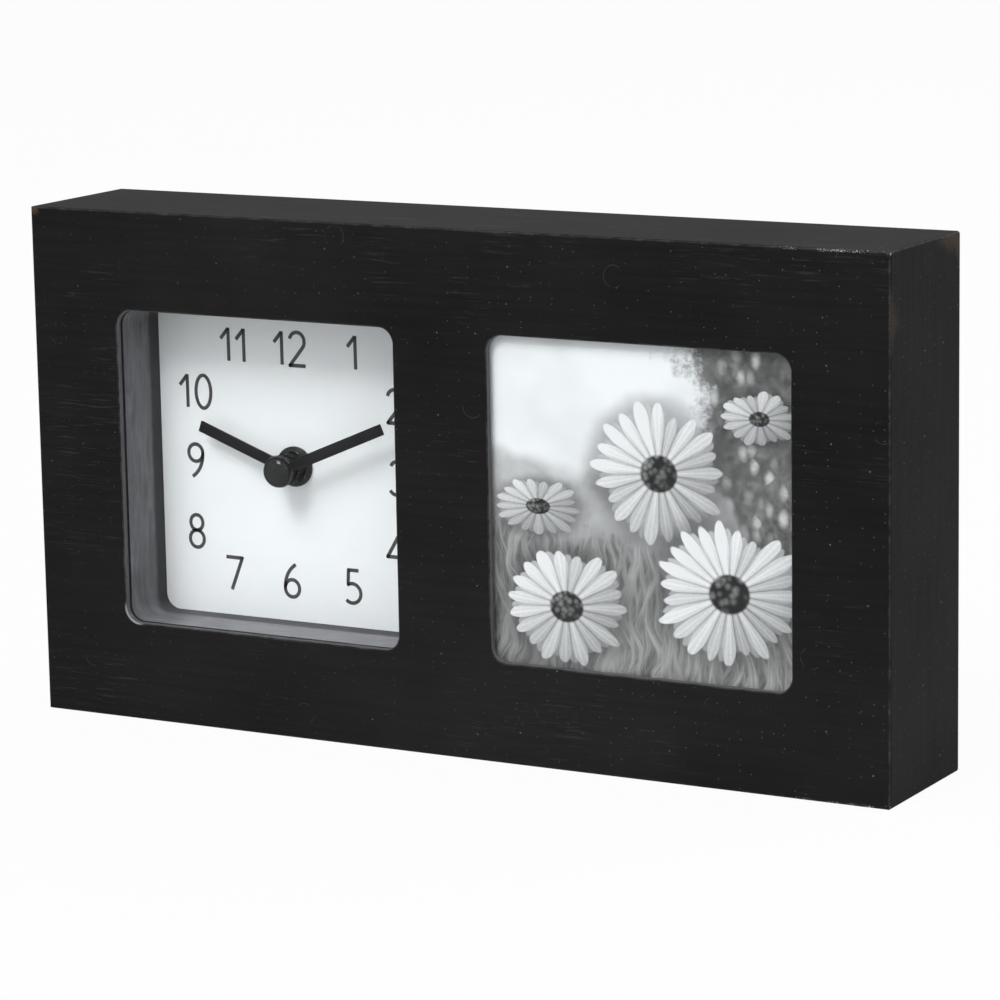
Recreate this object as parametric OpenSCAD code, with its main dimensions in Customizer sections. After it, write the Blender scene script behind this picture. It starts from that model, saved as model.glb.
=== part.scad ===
// Photo frame clock: a deep black block with a clock window on the left and a photo window on
// the right. It stands on its flat base. X is to the right, Y runs from front to back, Z is up,
// and the origin is at the middle of the base.

/* [Body] */
// Width and height of each square window
window_size = 70; // [68:0.5:76]
// Plain border round the two windows
border = 22; // [22:0.5:30]
// Width of the bar between the windows
window_gap = 23; // [22:0.5:30]
// Depth of the body, front to back
body_d = 35; // [35:0.5:42]
// Thickness of the front board
board_t = 16.5; // [14:0.5:16.5]
// Thickness of the four rails behind the front board
rail_t = 9; // [6:0.5:9]
// Radius of the eased outer edges
edge_r = 0.6; // [0.3:0.1:1.2]

/* [Windows] */
// Corner radius of the windows
window_r = 3.5; // [2:0.5:6]
// Radius of the round along the front edge of a window
window_edge_r = 0.7; // [0.4:0.1:1]
// Thickness of the lip in front of the panes
lip_t = 1.4; // [1.2:0.1:3]
// Width of the lip that the panes rest against
rebate = 4; // [3:0.5:5]
// Gap between a pane and the pocket that it lies in
pane_gap = 0.3; // [0.2:0.1:0.5]
// Thickness of the two clear panes
pane_t = 1; // [0.8:0.1:2]

/* [Photo] */
// Thickness of the photo print
print_t = 0.3; // [0.2:0.05:0.5]
// Margin between the print and the edge of its pane
print_margin = 0.6; // [0.3:0.1:1.5]
// Thickness of the removable photo back
back_t = 3; // [2:0.5:4]
// Radius of the finger notch in the photo back
notch_r = 6; // [4:0.5:8]

/* [Turn buttons] */
// Width of a turn button
button_w = 8; // [6:0.5:8]
// Distance from the pivot to the centre of the button's far end
button_reach = 9; // [7:0.5:12]
// Thickness of a turn button
button_t = 1.2; // [0.8:0.1:1.6]
// Gap between an opened button and the pocket
button_gap = 0.5; // [0.3:0.1:0.5]
// Diameter of the screws' shanks
screw_d = 2.5; // [2:0.1:3]
// Diameter of the screws' heads
head_d = 5; // [4:0.2:6]
// Height of the screws' heads
head_t = 1.5; // [1.2:0.1:2]
// Length of screw that bites in the front board
screw_bite = 6; // [4:0.5:8]

/* [Dial] */
// Thickness of the dial card
dial_t = 0.5; // [0.3:0.1:0.8]
// Thickness of the board behind the dial card
dial_board_t = 1.5; // [1:0.5:1.5]
// How far the dial board laps over the front board round the pocket
dial_lap = 5; // [4.5:0.5:5]
// Distance from the dial board's edges to its screws
dial_screw_in = 2.5; // [2:0.1:3]

/* [Hands] */
// Length of the hour hand from its axis
hour_l = 23.7; // [18:0.1:25]
// Length of the minute hand from its axis
minute_l = 28.2; // [25:0.1:32]
// Width of both hands
hand_w = 2.5; // [1.5:0.1:3.5]
// Thickness of both hands
hand_t = 0.5; // [0.3:0.1:0.6]
// Direction of the hour hand, clockwise from twelve
hour_a = 290; // [0:1:359]
// Direction of the minute hand, clockwise from twelve
minute_a = 67; // [0:1:359]
// Diameter of the hour hand's boss
hour_boss_d = 6.4; // [5.5:0.1:8]
// Height of the hour hand's boss
hour_boss_h = 2.2; // [1.4:0.1:2.4]
// Diameter of the minute hand's boss
minute_boss_d = 5.6; // [4.5:0.1:6.5]
// Height of the minute hand's boss
minute_boss_h = 2; // [1.2:0.1:2.2]
// Diameter of the cap over the hands
cap_d = 7.2; // [6:0.1:8]
// Height of the cap over the hands
cap_h = 3; // [2:0.1:3.2]
// Axial gap between the nut, the hands and their neighbours
hand_gap = 0.3; // [0.2:0.05:0.4]

/* [Movement] */
// Height of the movement case
case_size = 56; // [54:0.5:58]
// Room that the two contacts take up at the ends of the cell
contact_room = 3.1; // [3:0.1:4]
// Thickness of the case's side walls
case_wall = 1.2; // [1:0.1:1.4]
// Thickness of the case's front wall
case_front_t = 1; // [0.8:0.1:1.2]
// Corner radius of the movement case
case_r = 2.5; // [1.5:0.5:4]
// Thickness of the rear cover
cover_t = 1.2; // [1:0.1:1.4]
// Diameter of the threaded bushing
bushing_d = 6.4; // [6:0.1:7]
// Gap round the bushing in the dial and its board
bushing_gap = 0.3; // [0.2:0.1:0.6]
// Diameter of the round nut on the bushing
nut_d = 9; // [8.4:0.1:11]
// Height of the nut
nut_t = 1.6; // [1:0.1:1.8]
// Outer diameter of the rubber washer
washer_d = 12; // [10:0.5:20]
// Thickness of the rubber washer
washer_t = 0.5; // [0.3:0.1:0.8]
// Diameter of the setting knob
knob_d = 10.6; // [9:0.2:11]

/* [Battery] */
// Diameter of the cell
cell_d = 14.5; // [14.2:0.1:14.5]
// Length of the cell with its nub
cell_l = 50.5; // [49.5:0.1:50.5]
// Diameter of the nub
nub_d = 5.5; // [4.5:0.1:5.5]
// Length of the nub
nub_l = 1.3; // [1:0.1:1.6]
// Gap between the cell and the bay's long walls
cell_gap = 0.4; // [0.3:0.05:0.6]
// Thickness of the contact strips
contact_t = 0.3; // [0.2:0.05:0.4]

/* [Gears] */
// Distance from the hands' axis to the motion wheel and on to the knob
motion_dist = 9; // [8.6:0.1:9.4]
// Distance from the hands' axis to the third wheel
third_dist = 10.8; // [10:0.1:11]
// Distance from the hands' axis to the step wheel
step_dist = 7; // [6.8:0.1:7.2]
// Distance from the step wheel to the rotor
rotor_dist = 5.94; // [5.8:0.02:6]
// Thickness of every wheel's toothed rim
gear_t = 0.8; // [0.6:0.1:0.9]
// Axial gap between one level of wheels and the next
level_gap = 0.6; // [0.5:0.05:0.7]
// Outer diameter of the hour wheel's tube
hour_tube_d = 4; // [3.6:0.1:4.2]
// Outer diameter of the minute arbor
minute_tube_d = 2.8; // [2.4:0.1:3]
// Bore of the minute arbor
minute_bore_d = 1.2; // [1:0.1:1.4]
// Diameter of the small wheels' arbors
arbor_d = 1; // [0.8:0.05:1.1]
// Radial running gap of an arbor in its bearing
run_gap = 0.06; // [0.04:0.01:0.1]
// Share of a tooth's width that is left free as play
tooth_play = 0.16; // [0.12:0.02:0.24]

/* [Motor] */
// Diameter of the rotor's magnet
magnet_d = 5.8; // [5:0.1:6]
// Gap between the magnet and the stator
air_gap = 0.4; // [0.3:0.05:0.5]
// Distance from the rotor to the coil's axis
coil_dist = 9.3; // [9:0.1:9.8]
// Distance from the rotor to the middle of each stator arm
arm_dist = 9; // [8.8:0.05:9.2]
// Thickness of the stator plate and the coil's core
iron_t = 1; // [0.8:0.1:1]
// Diameter of the coil bobbin's flanges
flange_d = 5.6; // [5:0.1:5.6]

/* [Hidden] */
$fn = 64;

// Overall sizes of the block
body_w = 2*window_size + 2*border + window_gap;
body_h = window_size + 2*border;
window_pitch = window_size + window_gap;
pocket = window_size + 2*rebate;
pane = pocket - 2*pane_gap;

// Depths along Y, from the front face to the open back
y_front = -body_d/2;
y_rear = body_d/2;
y_lip = y_front + lip_t;
y_pane = y_lip + pane_t;
y_board = y_front + board_t;
y_dial = y_board;
y_dial_board = y_dial + dial_t;
y_washer = y_dial_board + dial_board_t;
y_case = y_washer + washer_t;

// Screws: the fit of a shank in its pilot hole and in a loose hole
screw_fit = 0.02;
screw_loose = 0.2;
slot_w = 0.7;
slot_deep = 0.6;
cut = 1;

// Turn buttons: the place of each pivot, the round of the far end and the play under each face
pivot_out = pocket/2 + button_w/2 + button_gap;
button_end_r = button_w/2 - 1;
button_lift = 0.1;

// Dial board
dial_size = pocket + 2*dial_lap;
dial_screw_at = dial_size/2 - dial_screw_in;

// Hands: each height is a distance in front of the dial
hour_at = nut_t + hand_gap;
minute_at = hour_at + hour_boss_h + hand_gap;
cap_at = minute_at + minute_boss_h;
strip_in = 0.2;
hand_fit = 0.02;
cap_stem = 3;
cap_side = 1.6;

// Tooth counts: 12 to 1 from the minute hand to the hour hand, and 1800 to 1 down the train
cannon_n = 15;
motion_n = 45;
motion_pinion_n = 12;
hour_n = 48;
knob_n = 15;
centre_n = 64;
leaf_n = 8;
third_n = 60;
seconds_n = 48;
step_n = 45;
rotor_n = 9;

// Modules that follow from the tooth counts and the distances
hand_m = 2*motion_dist/(cannon_n + motion_n);
hour_m = 2*motion_dist/(motion_pinion_n + hour_n);
centre_m = 2*third_dist/(leaf_n + centre_n);
third_m = 2*third_dist/(leaf_n + third_n);
seconds_m = 2*step_dist/(leaf_n + seconds_n);
step_m = 2*rotor_dist/(rotor_n + step_n);

// Tooth form: pressure angle, and the heights above and below the pitch circle in modules
pressure = 20;
wheel_add = 0.8;
pinion_add = 0.8;
tooth_ded = 1.2;

// Directions and places of the arbors, in X and Z from the hands' axis
motion_dir = 150;
knob_dir = 120;
third_dir = 60;
step_dir = -20;
rotor_dir = 30;
function polar(r, a) = [r*cos(a), r*sin(a)];
motion_pos = polar(motion_dist, motion_dir);
knob_pos = motion_pos + polar(motion_dist, knob_dir);
third_pos = polar(third_dist, third_dir);
step_pos = polar(step_dist, step_dir);
rotor_pos = step_pos + polar(rotor_dist, rotor_dir);
coil_x = rotor_pos[0] + coil_dist;

// Motor: iron parts, and the lowest point of the stator's lower arm
arm_w = 3;
bar_w = 3.4;
core_w = 2.4;
arm_over = 0.4;
stator_rim = 0.9;
stator_low = rotor_pos[1] - arm_dist - arm_w/2;

// Case: the gear chamber holds the motor, the battery bay lies below it, and the width is the
// cell's with its contacts
divider_t = 1.1;
chamber_gap = 0.48;
cell_play = 0.1;
case_w = cell_l + contact_room + 2*case_wall;
case_half = case_w/2;
inner_half = case_half - case_wall;
chamber_bottom = stator_low - chamber_gap;
bay_top = chamber_bottom - divider_t;
bay_bottom = bay_top - cell_d - 2*cell_gap;
case_bottom = bay_bottom - case_wall;
case_top = case_bottom + case_size;
inner_top = case_top - case_wall;
cell_z = (bay_top + bay_bottom)/2;
cell_end = inner_half - contact_t - cell_play;
y_floor = y_case + case_front_t;
y_case_rear = y_floor + cell_d;
y_cover = y_case_rear - cover_t;
saddle_at = 15;
saddle_t = 1.2;
saddle_h = 4;

// Levels of the wheels, counted from the case's front wall and from the bridge
run_in = 0.3;
level_step = gear_t + level_gap;
function level(i) = y_floor + run_in + i*level_step;
y_bridge = level(4);
bridge_t = 1;
y_bridge_rear = y_bridge + bridge_t;
function rear_level(i) = y_bridge_rear + level_gap + i*level_step;
y_stator = rear_level(2);
y_core = y_stator - iron_t;
boss_gap = 0.4;
boss_r = 1.5;
y_front_boss = level(1) - boss_gap;
y_boss = y_stator + iron_t + 2*boss_gap;
pivot_in = 0.7;
pivot_d = 0.7;
pivot_play = 0.1;
shoulder = 0.1;
hub_r = 2.2;
small_hub_r = 1.8;

// Phases that put every pair of wheels in mesh at rest
function mesh_phase(n1, phase1, n2, dir) = dir + 180 - 180/n2 - (n1/n2)*(phase1 - dir);
cannon_phase = 0;
motion_phase = mesh_phase(cannon_n, cannon_phase, motion_n, motion_dir);
motion_pinion_phase = 0;
hour_phase = mesh_phase(motion_pinion_n, motion_pinion_phase, hour_n, motion_dir + 180);
knob_phase = mesh_phase(motion_n, motion_phase, knob_n, knob_dir);
rotor_phase = 0;
step_phase = mesh_phase(rotor_n, rotor_phase, step_n, rotor_dir + 180);
step_leaf_phase = 0;
seconds_phase = mesh_phase(leaf_n, step_leaf_phase, seconds_n, step_dir + 180);
seconds_leaf_phase = 0;
third_phase = mesh_phase(leaf_n, seconds_leaf_phase, third_n, third_dir);
third_leaf_phase = 0;
centre_phase = mesh_phase(leaf_n, third_leaf_phase, centre_n, third_dir + 180);

// Bridge: it spans from the divider to just past the third wheel, on four pegs of the case
bridge_r = 2.5;
bridge_left = 21.5;
bridge_right = 17;
bridge_edge = 0.9;
bridge_lo = [-bridge_left, chamber_bottom + 0.5];
bridge_hi = [bridge_right, third_pos[1] + third_m*(third_n/2 + wheel_add) + bridge_edge];
bridge_pegs = [for (x = [bridge_lo[0] + bridge_r, bridge_hi[0] - bridge_r],
                    z = [bridge_lo[1] + bridge_r, bridge_hi[1] - bridge_r]) [x, z]];
peg_r = 0.9;
peg_head = 0.2;
post_r = 1.8;
stud_r = 0.75;
stator_post_r = 1.3;
stator_pin_r = 0.6;

// Circuit board: it fills the room between the case's wall and the seconds wheel
circuit_t = 0.8;
circuit_lift = 1.2;
circuit_in = 1.8;
seconds_gap = 2.3;
circuit_h = 15.5;
seconds_out = seconds_m*(seconds_n/2 + wheel_add);
circuit_lo = [-inner_half + circuit_in, chamber_bottom + 0.9];
circuit_hi = [-seconds_out - seconds_gap, circuit_lo[1] + circuit_h];
circuit_posts = [circuit_lo + [7, 5.5], circuit_hi - [2.5, 3]];
resin_at = circuit_lo + [10, 8.5];
resin_r = 2.6;
resin_h = 0.9;
y_circuit = y_bridge_rear + circuit_lift;
crystal_r = 1;
crystal_l = 6;
crystal_in = 2;

// Contact strips: their height, how far the tails reach over the board, and the spring leaf
strip_h = 1.8;
y_strip = y_circuit + circuit_t + 1.2;
contact_seat = 0.05;
foot_in = 2.5;
foot_w = 2;
foot_reach = 1.5;
leaf_half = 4;
leaf_low = 2;
leaf_bend = 0.2;

// Setting knob in its sunk cup
knob_floor_t = 1;
knob_cup_gap = 0.5;
knob_cup_wall = 1;
knob_proud = 0.2;
knob_t = 1.7;
y_knob = y_case_rear + knob_proud - knob_t;
y_knob_floor = y_knob - knob_proud - knob_floor_t;
stem_r = 1.5;
grips = 24;
grip_r = 0.4;
grip_in = 0.3;
knob_slot_w = 1;
knob_slot_deep = 0.6;

// Outline and solid helpers. A plate lies across Y, and its outline is drawn in X and Z.
module rounded_square(w, h, r) {
  square([w - 2*r, h], center = true);
  square([w, h - 2*r], center = true);
  for (sx = [-1, 1], sy = [-1, 1])
    translate([sx*(w/2 - r), sy*(h/2 - r)]) circle(r = r);
}
module plate(y, t) {
  translate([0, y + t, 0]) rotate([90, 0, 0]) linear_extrude(t) children();
}
module rod(y, len, r) {
  translate([0, y, 0]) rotate([-90, 0, 0]) cylinder(h = len, r = r);
}
module tube(y, len, r, bore_r) {
  difference() {
    rod(y, len, r);
    rod(y - cut, len + 2*cut, bore_r);
  }
}
module box(lo, hi) {
  translate(lo) cube(hi - lo);
}
module at_clock() {
  translate([-window_pitch/2, 0, body_h/2]) children();
}
module at_photo() {
  translate([window_pitch/2, 0, body_h/2]) children();
}
module at(p) {
  translate([p[0], 0, p[1]]) children();
}

// What is cut away along X to round an edge whose material lies towards +Y and +Z
module edge_cutter(len, r) {
  difference() {
    translate([-len/2, -r, -r]) cube([len, 2*r, 2*r]);
    translate([-len/2 - r, r, r]) rotate([0, 90, 0]) cylinder(h = len + 2*r, r = r);
  }
}
module outer_edges() {
  for (a = [0, 180]) translate([0, 0, body_h/2]) rotate([0, a, 0]) {
    translate([0, y_front, -body_h/2]) edge_cutter(body_w + 2*edge_r, edge_r);
    rotate([0, 90, 0]) translate([0, y_front, -body_w/2]) edge_cutter(body_h + 2*edge_r, edge_r);
  }
}
module window_edges() {
  inner = window_size/2 - window_r;
  for (a = [0 : 90 : 270]) rotate([0, a, 0]) {
    translate([0, y_front, window_size/2]) edge_cutter(2*inner, window_edge_r);
    translate([inner, y_front, inner]) rotate([90, 0, 0]) rotate_extrude(angle = 90)
      difference() {
        translate([window_r - window_edge_r, -window_edge_r]) square(2*window_edge_r);
        translate([window_r + window_edge_r, -window_edge_r]) circle(r = window_edge_r);
      }
  }
}
// The block's own outline, as deep as the part that is cut from it
module block(y, len) {
  plate(y, len) translate([0, body_h/2]) rounded_square(body_w, body_h, edge_r);
}

// Pan head screw whose head rests on the plane y and whose shank runs forward to the tip
module pan_screw(y, len) {
  dome_r = head_d;
  difference() {
    union() {
      rod(y - len, len + cut/4, screw_d/2);
      intersection() {
        rod(y, head_t, head_d/2);
        translate([0, y + head_t - dome_r, 0]) sphere(r = dome_r);
      }
    }
    for (a = [0, 90]) rotate([0, a, 0])
      translate([-head_d/4, y + head_t - slot_deep, -slot_w/2]) cube([head_d/2, slot_deep + cut, slot_w]);
  }
}

// Involute tooth: half its angle at radius r, for a wheel of n teeth and module m
function involute(a) = tan(a)*180/PI - a;
function half_tooth(n, m, r) =
  let (base = n*m/2*cos(pressure), a = acos(min(1, base/max(r, base))))
  90/n*(1 - tooth_play) + involute(pressure) - involute(a);
function gear_radii(n, m, add) = [n*m/2 - tooth_ded*m, n*m/2, n*m/2 + add*m];
function gear_points(n, m, add, phase) =
  let (radii = gear_radii(n, m, add))
  [for (k = [0 : n - 1], side = [-1, 1], i = [0 : 2])
    let (r = radii[side < 0 ? i : 2 - i])
    polar(r, phase + k*360/n + side*half_tooth(n, m, r))];
module gear(y, t, n, m, add, phase) {
  plate(y, t) polygon(gear_points(n, m, add, phase));
}
// A wheel with round openings between its hub and its rim
module wheel(y, n, m, phase, hub_r, openings) {
  root = n*m/2 - tooth_ded*m;
  open_r = (root - hub_r)*0.3;
  mid_r = (root + hub_r)/2;
  difference() {
    gear(y, gear_t, n, m, wheel_add, phase);
    for (k = [1 : openings]) at(polar(mid_r, k*360/openings)) rod(y - cut, gear_t + 2*cut, open_r);
  }
}

// Front board: two windows with a thin lip, and a deeper pocket behind each for its pane
module front_board() {
  color("#232325") difference() {
    block(y_front, board_t);
    outer_edges();
    for (side = [-1, 1]) translate([side*window_pitch/2, 0, body_h/2]) {
      plate(y_front - cut, lip_t + 2*cut) rounded_square(window_size, window_size, window_r);
      box([-pocket/2, y_lip, -pocket/2], [pocket/2, y_board + cut, pocket/2]);
      window_edges();
    }
    at_clock() for (sx = [-1, 1], sz = [-1, 1]) at([sx*dial_screw_at, sz*dial_screw_at])
      rod(y_board - screw_bite - cut/2, screw_bite + cut, screw_d/2 + screw_fit);
    at_photo() for (a = [0 : 90 : 270]) at(polar(pivot_out, a))
      rod(y_board - screw_bite - cut/2, screw_bite + cut, screw_d/2 + screw_fit);
  }
}

// Rails: they carry the depth of the block behind the front board and leave its back open
module rail(lo_x, lo_z, hi_x, hi_z) {
  color("#232325") intersection() {
    block(y_board, y_rear - y_board);
    box([lo_x, y_board - cut, lo_z], [hi_x, y_rear + cut, hi_z]);
  }
}
module top_rail() {
  rail(-body_w/2, body_h - rail_t, body_w/2, body_h);
}
module bottom_rail() {
  rail(-body_w/2, 0, body_w/2, rail_t);
}
module left_rail() {
  rail(-body_w/2, rail_t, -body_w/2 + rail_t, body_h - rail_t);
}
module right_rail() {
  rail(body_w/2 - rail_t, rail_t, body_w/2, body_h - rail_t);
}

// Clear panes, both against the back of the lip
module clock_glass() {
  color("#dfe8ea", 0.3) at_clock() plate(y_lip, pane_t) square(pane, center = true);
}
module photo_glass() {
  color("#dfe8ea", 0.3) at_photo() plate(y_lip, pane_t) square(pane, center = true);
}

// Surround: the walls of the recess between the clock's pane and its dial
module clock_surround() {
  color("#55555a") at_clock() plate(y_pane, y_board - y_pane) difference() {
    square(pane, center = true);
    rounded_square(window_size, window_size, window_r);
  }
}

// Dial card and the board that carries it, held to the front board by four screws
module dial_sheet(y, t) {
  at_clock() difference() {
    plate(y, t) square(dial_size, center = true);
    rod(y - cut, t + 2*cut, bushing_d/2 + bushing_gap);
    for (sx = [-1, 1], sz = [-1, 1]) at([sx*dial_screw_at, sz*dial_screw_at])
      rod(y - cut, t + 2*cut, screw_d/2 + screw_loose);
  }
}
module dial() {
  color("#e4e6e8") dial_sheet(y_dial, dial_t);
}
module dial_board() {
  color("#7a5a3c") dial_sheet(y_dial_board, dial_board_t);
}
module dial_board_screws() {
  color("#b9bcc0") at_clock() for (sx = [-1, 1], sz = [-1, 1]) at([sx*dial_screw_at, sz*dial_screw_at])
    pan_screw(y_washer, y_washer - y_board + screw_bite);
}

// Photo print, the filler behind it and the hardboard back with its finger notch
module photo_print() {
  color("#b8babc") at_photo() plate(y_pane, print_t) square(pane - 2*print_margin, center = true);
}
module photo_spacer() {
  color("#8d8d8a") at_photo() plate(y_pane + print_t, y_board - back_t - y_pane - print_t)
    square(pane, center = true);
}
module photo_back() {
  color("#7a5a3c") at_photo() plate(y_board - back_t, back_t) difference() {
    square(pane, center = true);
    translate([pane/2, pane/4]) circle(r = notch_r);
  }
}

// Turn button at an angle round the photo pocket, shown shut with its tail over the photo back
module turn_button(a) {
  color("#b9bcc0") at_photo() at(polar(pivot_out, a)) plate(y_board + button_lift, button_t)
    rotate(a + 180) difference() {
      union() {
        circle(r = button_w/2);
        translate([button_reach, 0]) circle(r = button_end_r);
        polygon([
          [0, -button_w/2], [button_reach, -button_end_r],
          [button_reach, button_end_r], [0, button_w/2]
        ]);
      }
      circle(r = screw_d/2 + run_gap);
    }
}
module turn_button_top() {
  turn_button(90);
}
module turn_button_bottom() {
  turn_button(270);
}
module turn_button_left() {
  turn_button(180);
}
module turn_button_right() {
  turn_button(0);
}
module button_screws() {
  seat = y_board + button_lift + button_t + button_lift;
  color("#b9bcc0") at_photo() for (a = [0 : 90 : 270]) at(polar(pivot_out, a))
    pan_screw(seat, seat - y_board + screw_bite);
}

// Rubber washer and round nut that clamp the movement to the dial board
module rubber_washer() {
  color("#2a2a2c") at_clock() tube(y_washer, washer_t, washer_d/2, bushing_d/2 + bushing_gap);
}
module hub_nut() {
  bore_r = bushing_d/2 + screw_fit;
  round_r = 0.4;
  color("#18181a") at_clock() translate([0, y_dial, 0]) rotate([90, 0, 0]) rotate_extrude() {
    translate([bore_r, 0]) square([nut_d/2 - bore_r, nut_t - round_r]);
    translate([bore_r, 0]) square([nut_d/2 - round_r - bore_r, nut_t]);
    translate([nut_d/2 - round_r, nut_t - round_r]) circle(r = round_r);
  }
}

// Hands: a flat strip with a square end, on a round boss
module hand(at_h, boss_d, boss_h, len, angle, bore_r) {
  y = y_dial - at_h - boss_h;
  color("#1c1c1e") at_clock() difference() {
    union() {
      rod(y, boss_h, boss_d/2);
      rotate([0, angle, 0])
        box([-hand_w/2, y + boss_h - strip_in - hand_t, 0], [hand_w/2, y + boss_h - strip_in, len]);
    }
    rod(y - cut, boss_h + 2*cut, bore_r);
  }
}
module hour_hand() {
  hand(hour_at, hour_boss_d, hour_boss_h, hour_l, hour_a, hour_tube_d/2 + hand_fit);
}
module minute_hand() {
  hand(minute_at, minute_boss_d, minute_boss_h, minute_l, minute_a, minute_tube_d/2 + hand_fit);
}
// Cap: a shallow dome on a straight side, with a stem that plugs the minute arbor
module hand_cap() {
  y = y_dial - cap_at - cap_h;
  dome_h = cap_h - cap_side;
  dome_r = (cap_d*cap_d/4 + dome_h*dome_h)/(2*dome_h);
  color("#18181a") at_clock() {
    intersection() {
      rod(y, cap_h, cap_d/2);
      translate([0, y + dome_r, 0]) sphere(r = dome_r);
    }
    rod(y + cap_h - cut/4, cap_stem, minute_bore_d/2 - hand_fit);
  }
}

// Movement case: gear chamber over the battery bay, with the bushing that passes the dial
module case_outline() {
  translate([0, (case_bottom + case_top)/2]) rounded_square(case_w, case_size, case_r);
}
module movement_case() {
  bosses = [third_pos, knob_pos];
  color("#1e1e20") at_clock() difference() {
    union() {
      difference() {
        plate(y_case, y_case_rear - y_case) case_outline();
        box([-inner_half, y_floor, chamber_bottom], [inner_half, y_case_rear + cut, inner_top]);
        box([-inner_half, y_floor, bay_bottom], [inner_half, y_case_rear + cut, bay_top]);
        box([-case_half - cut, y_cover, bay_top], [case_half + cut, y_case_rear + cut, case_top + cut]);
        box([inner_half - 2*contact_t, y_strip, bay_top - cut],
            [inner_half, y_case_rear, chamber_bottom + cut]);
        box([-inner_half, y_strip, bay_top - cut],
            [-inner_half + 2*contact_t, y_case_rear, chamber_bottom + cut]);
      }
      rod(y_dial - nut_t, y_floor - y_dial + nut_t, bushing_d/2);
      for (p = bosses) at(p) rod(y_floor - cut/2, y_front_boss - y_floor + cut/2, boss_r);
      at(motion_pos) rod(y_floor - cut/2, level(2) - y_floor, stud_r);
      for (p = bridge_pegs) at(p) {
        rod(y_floor - cut/2, y_bridge - y_floor + cut/2, post_r);
        rod(y_floor, y_bridge_rear + peg_head - y_floor, peg_r);
      }
      for (x = [-saddle_at, saddle_at]) difference() {
        box([x - saddle_t/2, y_floor - cut/2, bay_bottom - cut/4],
            [x + saddle_t/2, y_floor + saddle_h, bay_top + cut/4]);
        translate([0, y_floor + cell_d/2, cell_z]) rotate([0, 90, 0])
          cylinder(h = case_size, r = cell_d/2 + cell_gap, center = true);
      }
    }
    rod(y_dial - nut_t - cut, y_floor - y_dial + nut_t + 2*cut, hour_tube_d/2 + run_gap);
    for (p = bosses) at(p) rod(y_front_boss - pivot_in, pivot_in + cut, pivot_d/2 + run_gap);
  }
}

// Rear cover over the gear chamber, with a sunk cup for the knob and three bearing bosses
module movement_cover() {
  cup_r = knob_d/2 + knob_cup_gap;
  lip_gap = 0.1;
  lip = 0.8;
  lip_reach = 0.6;
  bearings = [[0, 0], step_pos, rotor_pos];
  color("#1e1e20") at_clock() difference() {
    union() {
      intersection() {
        plate(y_cover, cover_t) case_outline();
        box([-case_half, y_cover - cut, bay_top], [case_half, y_case_rear + cut, case_top]);
      }
      difference() {
        box([-inner_half + lip_gap, y_cover - lip_reach, chamber_bottom + lip_gap],
            [inner_half - lip_gap, y_cover + cut/2, inner_top - lip_gap]);
        box([-inner_half + lip_gap + lip, y_cover - 2*cut, chamber_bottom + lip_gap + lip],
            [inner_half - lip_gap - lip, y_cover + cut, inner_top - lip_gap - lip]);
      }
      at(knob_pos) rod(y_knob_floor, y_cover - y_knob_floor + cut/2, cup_r + knob_cup_wall);
      for (p = bearings) at(p) rod(y_boss, y_cover - y_boss + cut/2, boss_r);
    }
    at(knob_pos) {
      rod(y_knob_floor + knob_floor_t, y_case_rear, cup_r);
      rod(y_knob_floor - cut, knob_floor_t + 2*cut, stem_r + run_gap);
    }
    for (p = bearings) at(p) rod(y_boss - cut, pivot_in + cut + boss_gap, pivot_d/2 + run_gap);
  }
}

// Bridge: the plate between the centre wheel and the motor, with posts for the stator and board
module gear_bridge() {
  size = bridge_hi - bridge_lo;
  arbor_hole_r = 2;
  color("#d9d9d4") at_clock() difference() {
    union() {
      plate(y_bridge, bridge_t) translate((bridge_lo + bridge_hi)/2)
        rounded_square(size[0], size[1], bridge_r);
      for (side = [-1, 1]) at(rotor_pos + [0, side*arm_dist]) {
        rod(y_bridge_rear - cut/2, y_stator - y_bridge_rear + cut/2, stator_post_r);
        rod(y_bridge_rear, y_stator + iron_t + peg_head - y_bridge_rear, stator_pin_r);
      }
      for (p = circuit_posts) at(p) {
        rod(y_bridge_rear - cut/2, circuit_lift + cut/2, stator_post_r);
        rod(y_bridge_rear, circuit_lift + circuit_t + peg_head, stator_pin_r);
      }
    }
    for (p = bridge_pegs) at(p) rod(y_bridge - cut, bridge_t + 2*cut, peg_r + run_gap);
    rod(y_bridge - cut, bridge_t + 2*cut, arbor_hole_r);
    at(knob_pos) rod(y_bridge - cut, bridge_t + 2*cut, stem_r + 5*run_gap);
    for (p = [third_pos, step_pos, rotor_pos]) at(p)
      rod(y_bridge - cut, bridge_t + 2*cut, pivot_d/2 + run_gap);
  }
}

// Motion work: hour wheel on its tube, cannon pinion on the minute arbor, motion wheel, knob
module hour_wheel() {
  front = y_dial - hour_at - hour_boss_h;
  hour_rib = 0.8;
  color("#e8e4da") at_clock() difference() {
    union() {
      wheel(level(0), hour_n, hour_m, hour_phase, hour_tube_d/2 + hour_rib, 4);
      rod(front, level(0) + gear_t - front, hour_tube_d/2);
    }
    rod(front - cut, level(0) + gear_t - front + 2*cut, minute_tube_d/2 + run_gap);
  }
}
module minute_arbor() {
  front = y_dial - minute_at - minute_boss_h;
  rear = level(3) - run_in;
  color("#e8e4da") at_clock() difference() {
    union() {
      rod(front, level(1) + gear_t + run_in - front, minute_tube_d/2);
      gear(level(1), gear_t, cannon_n, hand_m, pinion_add, cannon_phase);
      rod(front, rear - front, arbor_d);
    }
    rod(front - cut, rear - front + 2*cut, minute_bore_d/2);
  }
}
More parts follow.
